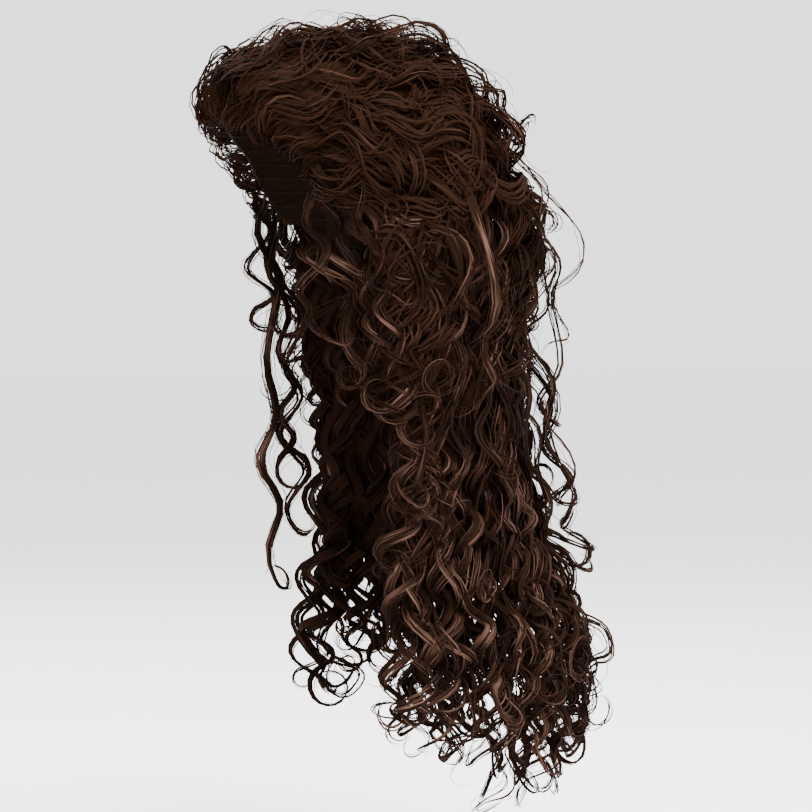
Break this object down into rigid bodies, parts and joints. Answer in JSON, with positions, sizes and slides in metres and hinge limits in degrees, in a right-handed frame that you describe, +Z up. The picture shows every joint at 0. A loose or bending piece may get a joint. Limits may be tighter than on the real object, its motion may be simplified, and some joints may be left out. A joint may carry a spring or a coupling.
{
  "type": "long curly wig",
  "caption": "Long curly wig: a hollow cap with a swept-back crown, full sides, loose temple ringlets and a wavy fall of hair down the back.",
  "frame": {"origin": "inside of the cap at its crown, where the top of a head meets it", "axes": "+Z up, the wearer faces -Y, the wearer's left side is +X"},
  "size_m": [0.2512, 0.3194, 0.6169],
  "materials": {
    "cap_net": "dark woven net, matt",
    "hair": "dark brown fibre hair, satin"
  },
  "bodies": {
    "root": {"cap": "cap_net", "crown_hair": "hair", "side_hair_left": "hair", "side_hair_right": "hair", "back_hair": "hair", "temple_locks_left": "hair", "temple_locks_right": "hair"}
  },
  "joints": []
}
